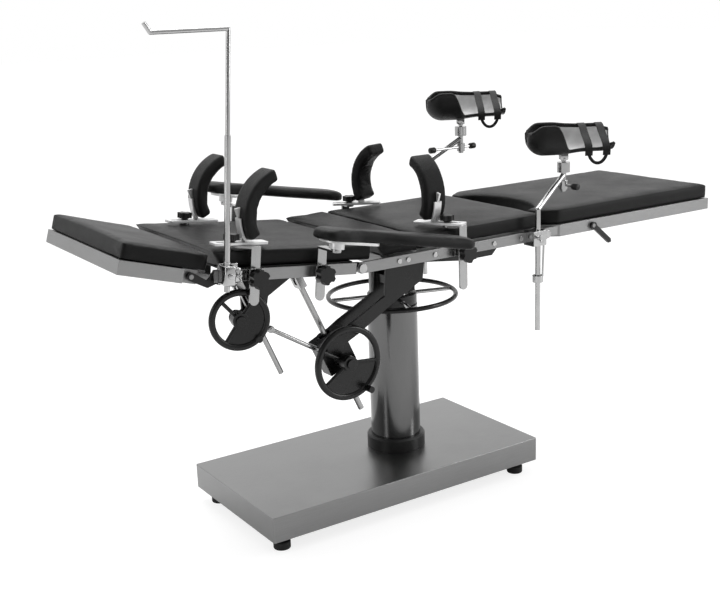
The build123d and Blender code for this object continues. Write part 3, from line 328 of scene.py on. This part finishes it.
def metal(name, low, high, rough_low, rough_high, stretch=(1, 1, 1), scale=12.0, line=0.05,
          edge=0.0015, metallic=1.0, wear=None, shine=0.5):
    """Metal sheet, bar or casting with grinding lines and softened edges."""
    material, tree, shader = finish_start(name, Metallic=metallic, Specular_IOR_Level=shine)
    lines = use(tree, grinding, Stretch=stretch, Scale=scale)
    patches = use(tree, uneven, Scale=7.0, Low=rough_low, High=rough_high)
    edges = use(tree, worn_edges, Radius=edge)
    tone = two_tones(tree, lines["Line"], grey(low), grey(high))
    if wear is not None:
        tone = node(tree, "ShaderNodeMix", {0: edges["Mask"], 6: tone, 7: (*grey(wear), 1)},
                    data_type="RGBA").outputs[2]
    tree.links.new(tone, shader.inputs["Base Color"])
    tree.links.new(patches["Value"], shader.inputs["Roughness"])
    tree.links.new(bumped(tree, lines["Line"], line, 0.0005, edges["Normal"]), shader.inputs["Normal"])
    return material


pad_leather = leather("pad leather", 0.003, 0.007, 0.36, 0.46, 620.0, 0.26, shine=0.16)
support_leather = leather("support leather", 0.003, 0.007, 0.32, 0.46, 520.0, 0.5, crease=1.8, wave=46.0, shine=0.17)
cuff_leather = leather("cuff leather", 0.003, 0.007, 0.30, 0.42, 560.0, 0.45, crease=1.4, wave=38.0, shine=0.24)
cuff_lining = leather("cuff lining", 0.46, 0.80, 0.45, 0.6, 480.0, 0.45, crease=1.2, wave=30.0)
strap_leather = leather("strap leather", 0.003, 0.006, 0.42, 0.54, 700.0, 0.35, shine=0.2)

stainless_top = metal("brushed cover steel", 0.23, 0.33, 0.28, 0.36, (1.5, 90, 90), 14.0, 0.08)
# Column steel is the cover's brushed steel with its colour painted darker: painted shade standing in for the darker
# reflections along the column
column_steel_painted_shade = metal("brushed column steel painted shade", 0.11, 0.17, 0.14, 0.20, (90, 90, 1.5), 14.0, 0.06)
rail_steel = metal("rail steel", 0.22, 0.31, 0.24, 0.32, (2, 70, 70), 14.0, 0.06)
plate_steel = metal("tray sheet", 0.26, 0.32, 0.34, 0.44, (3, 40, 40), 12.0, 0.05, metallic=0.75)
chrome = metal("polished chrome", 0.40, 0.52, 0.10, 0.18, (1, 1, 1), 30.0, 0.02)
bar_steel = metal("bar steel", 0.34, 0.44, 0.18, 0.26, (40, 40, 2), 14.0, 0.05)
rod_steel = metal("ground rod steel", 0.30, 0.40, 0.18, 0.28, (30, 30, 30), 14.0, 0.05)
cast_alloy = metal("cast alloy", 0.66, 0.80, 0.30, 0.46, (1, 1, 1), 260.0, 0.25, edge=0.002,
                   metallic=0.55)
dark_steel = metal("dark steel", 0.016, 0.030, 0.34, 0.48, (3, 20, 20), 30.0, 0.10, metallic=0.5,
                   wear=0.10)
black_enamel = metal("black enamel", 0.004, 0.008, 0.22, 0.32, (1, 1, 1), 190.0, 0.08, edge=0.002,
                     metallic=0.0, wear=0.03, shine=0.35)
chassis_paint = metal("chassis paint", 0.02, 0.03, 0.5, 0.62, (1, 1, 1), 120.0, 0.15, metallic=0.0,
                      wear=0.08)
black_plastic = metal("moulded grip", 0.005, 0.008, 0.32, 0.42, (1, 1, 1), 420.0, 0.10,
                      metallic=0.0, wear=0.02, shine=0.35)
foot_rubber = metal("foot rubber", 0.010, 0.016, 0.7, 0.85, (1, 1, 1), 300.0, 0.25, metallic=0.0)
bush_bronze = metal("bush bronze", 0.22, 0.30, 0.30, 0.42, (1, 1, 20), 40.0, 0.08)

finishes = {
    stainless_top: ["base_cover"],
    column_steel_painted_shade: ["column_tube"],
    rail_steel: ["seat_rails", "back_rails"],
    plate_steel: ["head_tray", "leg_tray", "seat_frame", "kidney_bridge"],
    chrome: ["ram_tube", "rail_bolts", "leg_holder_clamps", "iv_clamp", "iv_tube", "iv_rod",
             "leg_rod_near", "leg_rod_far", "leg_post_near", "leg_post_far"],
    bar_steel: ["seat_bars", "back_bars"],
    rod_steel: ["rod_a", "rod_b"],
    cast_alloy: ["shoulder_near_bracket", "shoulder_far_bracket", "waist_near_bracket",
                 "waist_far_bracket", "arm_tray_near", "arm_tray_far"],
    dark_steel: ["back_frame", "column_collar", "leg_lock_lever"],
    black_enamel: ["fork_head", "tilt_cross", "main_beam", "drive_arm", "gearbox_a", "gearbox_b", "wheel_a",
                   "wheel_b"],
    chassis_paint: ["base_chassis"],
    black_plastic: ["back_knobs", "seat_knobs"],
    foot_rubber: ["levelling_feet"],
    bush_bronze: ["column_bush"],
    pad_leather: ["seat_pad", "kidney_pad", "back_pad", "head_pad", "leg_pad", "arm_board_near",
                  "arm_board_far"],
    support_leather: ["shoulder_near_pad", "shoulder_far_pad", "waist_near_pad", "waist_far_pad"],
    cuff_leather: ["leg_trough_near", "leg_trough_far"],
    strap_leather: ["trough_straps_near", "trough_straps_far"],
}
for finish, names in finishes.items():
    for name in names:
        shown[name].data.materials.clear()
        shown[name].data.materials.append(finish)

# Lift handwheel: black rim and hub, plated spokes
wheel_plane = 588
fit("lift_wheel_rim", "lift_wheel", black_enamel,
    [moved(ring(190, 7), Matrix.Translation((0, 0, wheel_plane)))], stands_for=["lift_wheel"])
fit("lift_wheel_hub", "lift_wheel", black_enamel,
    [lathe([(57, 561), (71, 561), (74, 565), (74, 594), (70, 599), (57, 599)], closed=True, sides=64)])
fit("lift_wheel_spokes", "lift_wheel", chrome,
    [moved(rod((72, 0, 0), (184, 0, 0), 6), standing(0, 0, wheel_plane, angle))
     for angle in (-18, 72, 162, 252)])


# Cushions: the CAD solid's form, remeshed, puffed up by air pressure and held back to its space
def free_copy(name, place):
    """Copy of a CAD node in its level drawing frame, in metres."""
    mesh = shown[name].data.copy()
    form = bmesh.new()
    form.from_mesh(mesh)
    bmesh.ops.remove_doubles(form, verts=form.verts, dist=1e-5)
    level = (column @ place @ Matrix.Scale(1000, 4)).inverted()
    bmesh.ops.transform(form, matrix=level, verts=form.verts)
    form.to_mesh(mesh)
    form.free()
    mesh.materials.clear()
    return mesh


def evaluated(piece):
    return bpy.data.meshes.new_from_object(piece.evaluated_get(
        bpy.context.evaluated_depsgraph_get()))


def puffed(mesh, voxel, pull_in, cap, pressure):
    """Voxel remesh, drawn in a little, then a short cloth run with pressure."""
    piece = bpy.data.objects.new("puff", mesh)
    scene.collection.objects.link(piece)
    remesh = piece.modifiers.new("voxels", "REMESH")
    remesh.mode = "VOXEL"
    remesh.voxel_size = voxel
    piece.data = evaluated(piece)
    piece.modifiers.clear()
    form = bmesh.new()
    form.from_mesh(piece.data)
    for _ in range(2):
        bmesh.ops.smooth_vert(form, verts=form.verts, factor=0.5, use_axis_x=True, use_axis_y=True,
                              use_axis_z=True)
    form.normal_update()
    for vert, inward in [(v, v.normal.copy()) for v in form.verts]:
        vert.co -= inward * pull_in
    form.to_mesh(piece.data)
    form.free()
    rest = [v.co.copy() for v in piece.data.vertices]
    cloth = piece.modifiers.new("air", "CLOTH")
    cloth.settings.quality = 4
    cloth.settings.use_pressure = True
    cloth.settings.uniform_pressure_force = pressure
    cloth.settings.effector_weights.gravity = 0
    cloth.point_cache.frame_start = 1
    cloth.point_cache.frame_end = 20
    for step in range(1, 21):
        scene.frame_set(step)
    blown = evaluated(piece)
    piece.modifiers.clear()
    for vert, blown_vert, start in zip(piece.data.vertices, blown.vertices, rest):
        shift = blown_vert.co - start
        vert.co = start + shift * min(1, cap / max(shift.length, 1e-9))
    bpy.data.meshes.remove(blown)
    scene.frame_set(1)
    made = piece.data
    bpy.data.objects.remove(piece)
    return made


def held(mesh, rules):
    """Moves each point by the rules that keep it in its space."""
    for vert in mesh.vertices:
        for rule in rules:
            rule(vert.co)


def above(z):
    def rule(point):
        point.z = max(point.z, z * MM)
    return rule


def between(x0, x1):
    def rule(point):
        point.x = min(max(point.x, x0 * MM), x1 * MM)
    return rule


def within(y):
    def rule(point):
        point.y = min(max(point.y, -y * MM), y * MM)
    return rule


def sweep(hinge_x, radius, inside):
    """Keeps an end clear of the arc that its neighbour's corner runs on."""
    def rule(point):
        run = Vector((point.x - hinge_x * MM, 0, point.z - hinge_z * MM))
        far = run.length
        wrong = far > radius * MM if inside else far < radius * MM
        if wrong and far > 1e-6:
            point.x = hinge_x * MM + run.x * radius * MM / far
            point.z = hinge_z * MM + run.z * radius * MM / far
    return rule


def ripples(rate, depth, seed):
    """Slow unevenness of the stuffing."""
    def rule(point):
        spot = Vector((point.x * rate + seed, point.y * rate, point.z * rate))
        point.z += noise.noise(spot) * depth * MM
    return rule


def cushion(name, source, body, finish, place, rules, voxel=0.006, pull_in=0.002, cap=0.004,
            pressure=4.0, smooth=1):
    mesh = puffed(free_copy(source, place), voxel, pull_in, cap, pressure)
    held(mesh, rules)
    mesh.transform(column @ place @ Matrix.Scale(1000, 4))
    mesh.name = name
    mesh.shade_smooth()
    mesh.materials.clear()
    mesh.materials.append(finish)
    piece = bpy.data.objects.new(name, mesh)
    scene.collection.objects.link(piece)
    if smooth:
        finer = piece.modifiers.new("finer", "SUBSURF")
        finer.levels = smooth
        finer.render_levels = smooth
    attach(piece, body)
    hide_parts(source)
    return piece


pad_low = 774.2
cushion("seat_cushion", "seat_pad", "seat", pad_leather, flat,
        [ripples(9, 1.0, 3), above(pad_low), between(-73.5, 377)])
cushion("kidney_cushion", "kidney_pad", "kidney", pad_leather, flat,
        [ripples(9, 0.8, 8), above(pad_low), between(-230, -75.8), sweep(back_hinge, 77.2, False)],
        voxel=0.005)
cushion("back_cushion", "back_pad", "back", pad_leather, back_place,
        [ripples(9, 1.0, 15), above(pad_low), within(252), sweep(head_hinge, 77.2, False),
         between(-730, -228.6)])
cushion("head_cushion", "head_pad", "head", pad_leather, head_place,
        [ripples(9, 0.8, 21), above(pad_low), between(-947.5, -713.6)], voxel=0.005)
cushion("leg_cushion", "leg_pad", "leg", pad_leather, flat,
        [ripples(9, 1.0, 30), above(pad_low), between(380, 1095)])

near_shoulder_place = back_place @ standing(-640, -225, 829)
far_shoulder_place = back_place @ standing(-585, 165, 829)
near_waist_place = standing(34, -232, 829, 120)
far_waist_place = standing(10, 232, 829, -33)
for name, place in (("shoulder_near", near_shoulder_place), ("shoulder_far", far_shoulder_place),
                    ("waist_near", near_waist_place), ("waist_far", far_waist_place)):
    cushion(name + "_cushion", name + "_pad", name, support_leather, place, [], voxel=0.004,
            pull_in=0.002, cap=0.004)

near_arm_place = (back_place @ Matrix.Translation((-399, -330, 822))
                  @ Matrix.Rotation(math.radians(5), 4, "Y"))
far_arm_place = (back_place @ Matrix.Translation((-377, 330, 858))
                 @ Matrix.Rotation(math.radians(4), 4, "Y"))

def eased(low, high, x):
    share = min(max((x - low) / (high - low), 0), 1)
    return share * share * (3 - 2 * share)


def waisted(side):
    """Narrows the board between its round head and its long rest."""
    def rule(point):
        x = point.x / MM
        neck = 0.66 + 0.34 * max(1 - eased(-10, 50, x), eased(95, 210, x))
        centre = -side * 0.020
        point.y = centre + (point.y - centre) * neck
    return rule


for name, side, place in (("near", 1, near_arm_place), ("far", -1, far_arm_place)):
    cushion("arm_cushion_" + name, "arm_board_" + name, "arm_" + name, pad_leather, place,
            [waisted(side), above(27.6)], voxel=0.005, pull_in=0.002, cap=0.004)


# Leg troughs: padded shell with a pale lining, open low on the near half of the foot end
def gutter(outer, wall, low_end, high_end, near_rim, far_rim, stations=44, steps=26):
    """Closed shell of an open channel along X; the rims are angles above the level line."""
    part = bmesh.new()
    rings = []
    for station in range(stations + 1):
        share = station / stations
        x = low_end + (high_end - low_end) * share
        radius = outer(x)
        start, end = math.radians(180 - near_rim(x)), math.radians(360 + far_rim(x))
        arc = [start + (end - start) * step / steps for step in range(steps + 1)]
        middle = radius - wall / 2
        points = [(radius * math.cos(a), radius * math.sin(a)) for a in arc]
        points.append((middle * math.cos(end + wall / 2 / radius), middle * math.sin(end + wall / 2 / radius)))
        points += [((radius - wall) * math.cos(a), (radius - wall) * math.sin(a)) for a in reversed(arc)]
        points.append((middle * math.cos(start - wall / 2 / radius),
                       middle * math.sin(start - wall / 2 / radius)))
        rings.append([part.verts.new((x, y, z)) for y, z in points])
    for ring_a, ring_b in zip(rings, rings[1:]):
        for k in range(len(ring_a)):
            n = (k + 1) % len(ring_a)
            part.faces.new((ring_a[k], ring_a[n], ring_b[n], ring_b[k]))
    half = steps + 1
    for ends in (rings[0], rings[-1]):
        for k in range(steps):
            part.faces.new((ends[k], ends[k + 1], ends[-3 - k], ends[-2 - k]))
        part.faces.new((ends[half - 1], ends[half], ends[half + 1]))
        part.faces.new((ends[0], ends[-1], ends[-2]))
    bmesh.ops.recalc_face_normals(part, faces=part.faces)
    return part


def near_rim(x):
    return 28 - 20 * (1 - eased(-110, -70, x)) - 92 * eased(-34, 14, x) + 26 * eased(96, 142, x)


def far_rim(x):
    return 28 - 20 * (1 - eased(-110, -70, x)) - 4 * eased(-34, 14, x) - 16 * eased(100, 142, x)


def cuff_radius(x):
    """Rounded closed end, and a slight taper to the open end."""
    return 60 * math.sqrt(1 - (max(0, -62 - x) / 54) ** 2) - 7 * eased(-20, 60, x) - 5 * eased(110, 142, x)


def rim_roll(rim, side, radius, x0, x1, stations=30):
    """Rolled edge that follows a rim of the shell."""
    points = []
    for station in range(stations + 1):
        x = x0 + (x1 - x0) * station / stations
        angle = math.radians(180 - rim(x) if side < 0 else rim(x))
        reach = cuff_radius(x) - 4
        points.append((x, reach * math.cos(angle), reach * math.sin(angle)))
    return bent_bar(points, radius, 1.5, 4)


def end_roll(x, radius, steps=22):
    """Rolled edge round the open end of the shell."""
    start, end = 180 - near_rim(x), 360 + far_rim(x)
    reach = cuff_radius(x) - 4
    turns = [math.radians(start + (end - start) * step / steps) for step in range(steps + 1)]
    return bent_bar([(x, reach * math.cos(a), reach * math.sin(a)) for a in turns], radius, 1.5, 4)


def flat_band(route, x0, x1, thick, turn=flat):
    """Flat strap between two planes of X, following a route in Y and Z, then turned."""
    part = bmesh.new()
    route = [Vector((0, y, z)) for y, z in route]
    rows = []
    for k, spot in enumerate(route):
        ahead = route[min(k + 1, len(route) - 1)] - route[max(k - 1, 0)]
        out = Vector((0, ahead.z, -ahead.y)).normalized() * thick / 2
        rows.append([part.verts.new((x, *(spot + side * out).yz)) for x, side in
                     ((x0, -1), (x1, -1), (x1, 1), (x0, 1))])
    for row_a, row_b in zip(rows, rows[1:]):
        for k in range(4):
            part.faces.new((row_a[k], row_a[(k + 1) % 4], row_b[(k + 1) % 4], row_b[k]))
    part.faces.new(rows[0])
    part.faces.new(reversed(rows[-1]))
    bmesh.ops.recalc_face_normals(part, faces=part.faces)
    return moved(part, turn)


def smooth_route(points, steps=7):
    """Points of a smooth curve through the given ones."""
    made = []
    ends = [points[0]] + list(points) + [points[-1]]
    for a, b, c, d in zip(ends, ends[1:], ends[2:], ends[3:]):
        for step in range(steps):
            t = step / steps
            made.append(tuple(0.5 * (2 * q + (r - p) * t + (2 * p - 5 * q + 4 * r - w) * t ** 2
                                     + (3 * q - p - 3 * r + w) * t ** 3)
                              for p, q, r, w in zip(a, b, c, d)))
    return made + [points[-1]]


trough_axis = 1040
strap_route = smooth_route([(48, 25), (26, 20), (-6, 0), (-36, -16), (-52, -28), (-60, -42), (-58, -58)])
sling_route = smooth_route([(60, -52), (64, -64), (74, -76), (86, -80), (98, -76), (108, -64), (112, -52)])
sling_turn = Matrix.Translation((0, -59, 0)) @ Matrix.Rotation(-math.pi / 2, 4, "Z")
for side, label, lift in ((-1, "near", 0), (1, "far", 70)):
    body = "leg_trough_" + label
    at_axis = standing(459, side * 243, trough_axis + lift, -30)
    fit("trough_shell_" + label, body, cuff_leather,
        [gutter(cuff_radius, 7.5, -110, 142, near_rim, far_rim, 60),
         gutter(lambda x: cuff_radius(x) - 2, 22, -108, -100, near_rim, far_rim, 3),
         rim_roll(near_rim, -1, 5, -100, 141), rim_roll(far_rim, 1, 5, -100, 141), end_roll(139, 5)], at_axis,
        stands_for=["leg_trough_" + label])
    fit("trough_fork_" + label, body, chrome,
        [block(-12, 12, -12, -5.8, -74, -56, 2), block(-12, 12, 5.8, 12, -74, -56, 2),
         rod((0, -12, -72), (0, 12, -72), 4)], at_axis)
    fit("trough_lining_" + label, body, cuff_lining,
        [gutter(lambda x: cuff_radius(x) - 7.6, 1.6, -40, 139, lambda x: near_rim(x) - 6,
                lambda x: far_rim(x) - 7)], at_axis)
    fit("trough_belts_" + label, body, strap_leather,
        [flat_band(strap_route, x - 11, x + 11, 2.4) for x in (60, 112)]
        + [flat_band(sling_route, -1.5, 1.5, 9, sling_turn)], at_axis,
        stands_for=["trough_straps_" + label])


# Small fittings of the clamps and rods
def screw(x, y, z, heading, length, wings=0, radius=4, head=7):
    """Thumb screw standing out level from its seat, with a turned head or two wings."""
    form = [rod((0, 0, 0), (length, 0, 0), radius), rod((length - 5, 0, 0), (length, 0, 0), head, 1.5)]
    for side in ((-1, 1) if wings else ()):
        form.append(bent_bar([(length - 3, 0, 0), (length + 4, 0, side * wings * 0.5),
                              (length + 6, 0, side * wings)], 3.2, 4))
    turn = standing(x, y, z, heading)
    return [moved(part, turn) for part in form]


fit("iv_clamp_body", "back", chrome,
    [block(-690, -660, -298, -259.6, 738, 788, 5, 3), block(-664, -638, -284, -259.6, 744, 782, 6, 3),
     block(-690, -638, -259.6, -251.6, 735.2, 741.6, 1), block(-690, -638, -259.6, -251.6, 772.4, 788, 1),
     rod((-676, -298, 763), (-676, -304, 763), 7, 1.5)]
    + screw(-650, -284, 763, -90, 12, 15), back_place, stands_for=["iv_clamp"])

for side, label in ((-1, "near"), (1, "far")):
    fit("holder_clamp_screw_" + label, "seat", chrome,
        screw(308, side * 294, 762, side * 90, 14, 12))

# Bright rod with its ring nut on the near drive
nut = Vector((-534, -225, 632))
along = (Vector((-330, -225, 508)) - nut).normalized()
fit("gearbox_a_bright_rod", "gearbox_a", rod_steel,
    [rod(nut + along * 8, nut + along * 176, 5.8), rod(nut - Vector((0, 5.9, 0)), nut + Vector((0, 5.5, 0)), 9.4, 1.5),
     rod(nut - Vector((0, 6.2, 0)), nut - Vector((0, 5.5, 0)), 4.5, 0.2)])

# Black ends of the small cross bars under the troughs
for label, body, ends in (("near", "leg_rod_near", ((459, -295, 891), (459, -219, 891))),
                          ("far", "leg_rod_far", ((341, 243, 961), (507, 243, 961)))):
    along = (Vector(ends[1]) - Vector(ends[0])).normalized()
    fit("cross_bar_ends_" + label, body, black_plastic,
        [rod(Vector(end) - along * (12 if side > 0 else 10), Vector(end) + along * (10 if side > 0 else 12),
             9.8, 3) for side, end in zip((-1, 1), ends)])

# Floor, camera and light
floor_form = bmesh.new()
bmesh.ops.create_grid(floor_form, x_segments=1, y_segments=1, size=30)
floor_mesh = bpy.data.meshes.new("studio_floor")
floor_form.to_mesh(floor_mesh)
floor_form.free()
floor = bpy.data.objects.new("studio_floor", floor_mesh)
scene.collection.objects.link(floor)
pale = bpy.data.materials.new("pale floor")
pale.use_nodes = True
tree = pale.node_tree
tree.nodes.clear()
rays = node(tree, "ShaderNodeLightPath").outputs
mirrored = node(tree, "ShaderNodeMath", {0: rays["Is Glossy Ray"], 1: 0.22}, operation="MULTIPLY")
seen = node(tree, "ShaderNodeMath", {0: rays["Is Camera Ray"], 1: mirrored.outputs[0]}, operation="ADD")
share = node(tree, "ShaderNodeMath", {0: seen.outputs[0], 1: 0.62}, operation="MULTIPLY")
lit = node(tree, "ShaderNodeBsdfDiffuse", {"Color": (0.86, 0.86, 0.86, 1)})
glow = node(tree, "ShaderNodeEmission", {"Color": (1, 1, 1, 1), "Strength": 1.3})
both = node(tree, "ShaderNodeMixShader", {0: share.outputs[0], 1: lit.outputs[0], 2: glow.outputs[0]})
node(tree, "ShaderNodeOutputMaterial", {"Surface": both.outputs[0]})
floor_mesh.materials.append(pale)

world = bpy.data.worlds.new("studio")
scene.world = world
world.use_nodes = True
tree = world.node_tree
tree.nodes.clear()
rays = node(tree, "ShaderNodeLightPath").outputs
way = node(tree, "ShaderNodeTexCoord").outputs["Generated"]
behind = node(tree, "ShaderNodeVectorMath", {0: way, 1: (-0.62, -0.74, -0.25)}, operation="DOT_PRODUCT")
room = node(tree, "ShaderNodeMapRange", {0: behind.outputs["Value"], 1: -0.35, 2: 0.75, 3: 1.0, 4: 0.16},
            interpolation_type="SMOOTHSTEP")
level = node(tree, "ShaderNodeMix", {0: rays["Is Camera Ray"], 2: room.outputs[0], 3: 1.0})
sky = node(tree, "ShaderNodeBackground", {"Color": (1, 1, 1, 1), "Strength": level.outputs[0]})
node(tree, "ShaderNodeOutputWorld", {"Surface": sky.outputs[0]})


def softbox(name, place, aim, wide, high, power):
    lamp = bpy.data.lights.new(name, "AREA")
    lamp.shape = "RECTANGLE"
    lamp.size = wide
    lamp.size_y = high
    lamp.energy = power
    holder = bpy.data.objects.new(name, lamp)
    scene.collection.objects.link(holder)
    holder.location = place
    holder.rotation_euler = (Vector(aim) - Vector(place)).to_track_quat("-Z", "Y").to_euler()


softbox("overhead", (0.3, 0.9, 3.6), (0, 0, 0.6), 3.0, 2.0, 90)
softbox("right_strip", (2.6, -2.4, 1.9), (0, 0, 0.6), 0.7, 2.4, 40)
softbox("left_strip", (-3.4, -0.6, 1.8), (0, 0, 0.6), 0.5, 2.2, 16)

azimuth, pitch, roll = math.radians(33.135), math.radians(14.58), math.radians(-2.06)
forward = Vector((math.sin(azimuth) * math.cos(pitch), math.cos(azimuth) * math.cos(pitch),
                  -math.sin(pitch)))
level_right = Vector((math.cos(azimuth), -math.sin(azimuth), 0))
level_up = Vector((math.sin(azimuth) * math.sin(pitch), math.cos(azimuth) * math.sin(pitch),
                   math.cos(pitch)))
right = level_right * math.cos(roll) + level_up * math.sin(roll)
up = level_up * math.cos(roll) - level_right * math.sin(roll)
lens = bpy.data.cameras.new("studio_camera")
lens.lens = 56.89
lens.sensor_width = 36
lens.shift_x = -0.00917
lens.shift_y = -0.00708
lens.clip_end = 100
camera = bpy.data.objects.new("studio_camera", lens)
scene.collection.objects.link(camera)
camera.matrix_world = Matrix(((right.x, up.x, -forward.x, -1.9459), (right.y, up.y, -forward.y, -2.7070),
                              (right.z, up.z, -forward.z, 1.4425), (0, 0, 0, 1)))
scene.camera = camera
scene.view_settings.view_transform = "Standard"
